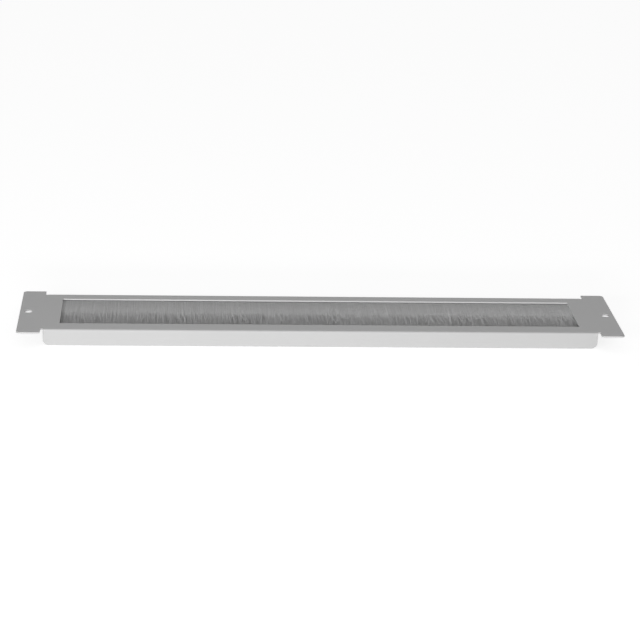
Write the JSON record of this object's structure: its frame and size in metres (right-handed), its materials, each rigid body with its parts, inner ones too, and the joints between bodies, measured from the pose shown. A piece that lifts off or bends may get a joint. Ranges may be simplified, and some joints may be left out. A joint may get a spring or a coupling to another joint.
{
  "type": "rack brush panel",
  "caption": "Long folded sheet-steel panel with mounting ears and a rectangular cable opening closed by one row of bristles.",
  "frame": {"origin": "middle of the footprint, on the plane that the flanges' lower edges stand on", "axes": "+X along the panel, -Y towards its front edge, +Z out of its face"},
  "size_m": [0.4786, 0.103, 0.0132],
  "materials": {
    "coat": "light grey powder coat, satin",
    "zinc": "zinc-plated steel, dull",
    "wire": "drawn steel wire",
    "bristle": "fine grey plastic filaments",
    "rivet": "plain aluminium, satin"
  },
  "bodies": {
    "root": {"panel": "coat", "clamp_rail": "zinc", "brush_channel": "zinc", "core_wire": "wire", "bristles": "bristle", "rivet_bodies": "rivet", "rivet_mandrels": "wire"}
  },
  "joints": []
}
